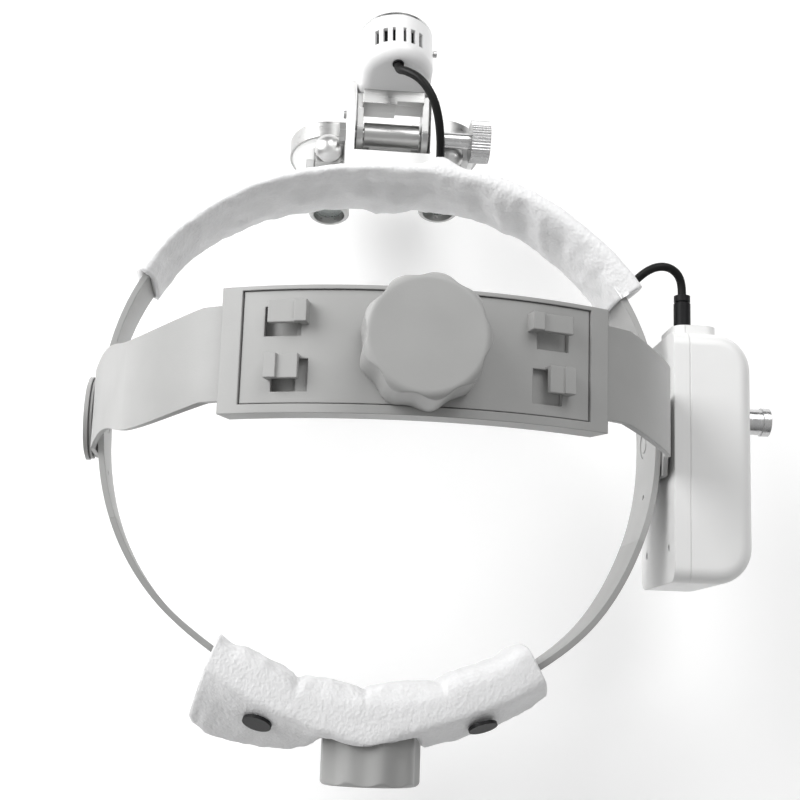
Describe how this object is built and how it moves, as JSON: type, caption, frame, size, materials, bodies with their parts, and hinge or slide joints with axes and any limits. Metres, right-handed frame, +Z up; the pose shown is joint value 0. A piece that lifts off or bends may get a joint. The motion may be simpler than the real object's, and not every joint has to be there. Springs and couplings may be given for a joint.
{
  "type": "dental loupes",
  "caption": "head-worn binocular loupes on an adjustable plastic headband with padded front and rear, tilting head lamp and side battery box",
  "frame": {"origin": "middle of the head opening at half the height of the ring band", "axes": "+X is the wearer's right, +Y is the way the wearer looks, +Z is up through the crown"},
  "size_m": [0.2142, 0.2417, 0.1778],
  "materials": {
    "strap_plastic": "fine moulded grey",
    "pad_leather": "white pebbled leatherette",
    "pad_foam": "open foam",
    "snap_black": "black press stud",
    "bright_metal": "satin, anodised",
    "polished_metal": "bright turned",
    "steel": "machine screws",
    "white_plastic": "soft sheen white",
    "lens_glass": "coated lens",
    "dark_plastic": "black",
    "board_green": "circuit board",
    "cell_wrap": "battery wrap",
    "led_yellow": "phosphor",
    "cable_black": "black jacket"
  },
  "bodies": {
    "headband": {"ring_band": "strap_plastic", "left_rivet": "strap_plastic", "right_pivot": "strap_plastic", "front_pad_cover": "pad_leather", "front_pad_foam": "pad_foam", "band_tail_left": "strap_plastic", "band_tail_right": "strap_plastic", "front_bracket": "bright_metal", "bracket_screws": "steel", "hinge_nut": "bright_metal", "battery_inner_shell": "white_plastic", "battery_outer_cover": "white_plastic", "battery_screws": "steel", "battery_cells": "cell_wrap", "battery_board": "board_green", "dc_jack": "dark_plastic", "dimmer": "dark_plastic", "dc_plug": "cable_black", "plug_lead": "cable_black", "lamp_lead": "cable_black"},
    "brightness": {"brightness_knob": "polished_metal"},
    "crown_strap": {"strap_foot_left": "strap_plastic", "strap_foot_right": "strap_plastic", "strap_arm_left": "strap_plastic", "strap_arm_right": "strap_plastic"},
    "crown_sleeve": {"sleeve_tray": "strap_plastic", "sleeve_cover": "strap_plastic"},
    "crown_wheel": {"crown_knob": "strap_plastic", "crown_pinion": "strap_plastic"},
    "rear_unit": {"rear_housing": "strap_plastic", "rear_housing_cover": "strap_plastic", "rear_pad_cover": "pad_leather", "rear_pad_foam": "pad_foam", "rear_pad_snaps": "snap_black"},
    "rear_wheel": {"rear_knob": "strap_plastic", "rear_pinion": "strap_plastic"},
    "lamp": {"lamp_housing": "white_plastic", "lamp_bezel": "polished_metal", "lamp_heat_sink": "bright_metal", "lamp_led": "led_yellow", "lamp_arm": "bright_metal", "lamp_grommet": "dark_plastic"},
    "lamp_focus": {"lamp_lens_carrier": "dark_plastic", "lamp_lens": "lens_glass", "lamp_focus_pin": "polished_metal"},
    "thumbscrew": {"hinge_thumbscrew": "polished_metal"},
    "loupe_frame": {"loupe_yoke": "bright_metal"},
    "loupe_left": {"barrel_left": "white_plastic", "objective_ring_left": "polished_metal", "lens_set_left": "lens_glass", "eyepiece_left": "dark_plastic", "pd_rod_left": "polished_metal"},
    "clamp_left": {"clamp_knob_left": "bright_metal"},
    "loupe_right": {"barrel_right": "white_plastic", "objective_ring_right": "polished_metal", "lens_set_right": "lens_glass", "eyepiece_right": "dark_plastic", "pd_rod_right": "polished_metal"},
    "clamp_right": {"clamp_knob_right": "bright_metal"}
  },
  "joints": [
    {"name": "crown_tilt", "type": "hinge", "parent": "headband", "child": "crown_strap", "pos_m": [0, 0, -0.003], "axis": [1, 0, 0], "range_deg": [-15, 15]},
    {"name": "crown_height", "type": "slide", "parent": "crown_strap", "child": "crown_sleeve", "axis": [0, 0, 1], "range_m": [-0.006, 0.01], "deforming": ["strap_arm_left", "strap_arm_right"]},
    {"name": "crown_knob_turn", "type": "hinge", "parent": "crown_sleeve", "child": "crown_wheel", "pos_m": [0, -0.0009, 0.1159], "axis": [0, 0, 1], "range_deg": [-68, 113]},
    {"name": "rear_size", "type": "slide", "parent": "headband", "child": "rear_unit", "axis": [0, -1, 0], "range_m": [-0.006, 0.012], "deforming": ["band_tail_left", "band_tail_right"]},
    {"name": "rear_knob_turn", "type": "hinge", "parent": "rear_unit", "child": "rear_wheel", "pos_m": [0, -0.0919, 0], "axis": [0, -1, 0], "range_deg": [-68, 136]},
    {"name": "lamp_tilt", "type": "hinge", "parent": "headband", "child": "lamp", "pos_m": [0, 0.0993, -0.005], "axis": [1, 0, 0], "range_deg": [-10, 45], "deforming": ["lamp_lead"]},
    {"name": "lamp_focus", "type": "slide", "parent": "lamp", "child": "lamp_focus", "axis": [0, 0.9397, -0.342], "range_m": [0, 0.002]},
    {"name": "thumbscrew_turn", "type": "hinge", "parent": "headband", "child": "thumbscrew", "pos_m": [0, 0.0993, -0.005], "axis": [1, 0, 0], "range_deg": [0, 270]},
    {"name": "loupe_flip", "type": "hinge", "parent": "headband", "child": "loupe_frame", "pos_m": [0, 0.0993, -0.005], "axis": [1, 0, 0], "range_deg": [0, 38]},
    {"name": "brightness_turn", "type": "hinge", "parent": "headband", "child": "brightness", "pos_m": [0.114, 0.0084, 0.002], "axis": [1, 0, 0], "range_deg": [0, 270]},
    {"name": "pupil_slide_left", "type": "slide", "parent": "loupe_frame", "child": "loupe_left", "axis": [-1, 0, 0], "range_m": [0, 0.015]},
    {"name": "clamp_turn_left", "type": "hinge", "parent": "loupe_frame", "child": "clamp_left", "pos_m": [-0.02, 0.0959, -0.011], "axis": [0, 0, 1], "range_deg": [0, 180]},
    {"name": "pupil_slide_right", "type": "slide", "parent": "loupe_frame", "child": "loupe_right", "axis": [1, 0, 0], "range_m": [0, 0.015]},
    {"name": "clamp_turn_right", "type": "hinge", "parent": "loupe_frame", "child": "clamp_right", "pos_m": [0.02, 0.0959, -0.011], "axis": [0, 0, 1], "range_deg": [0, 180]}
  ],
  "couplings": [
    {"joint": "crown_knob_turn", "follows": "crown_height", "rad_per_m": 196.35},
    {"joint": "rear_knob_turn", "follows": "rear_size", "rad_per_m": 196.35}
  ]
}
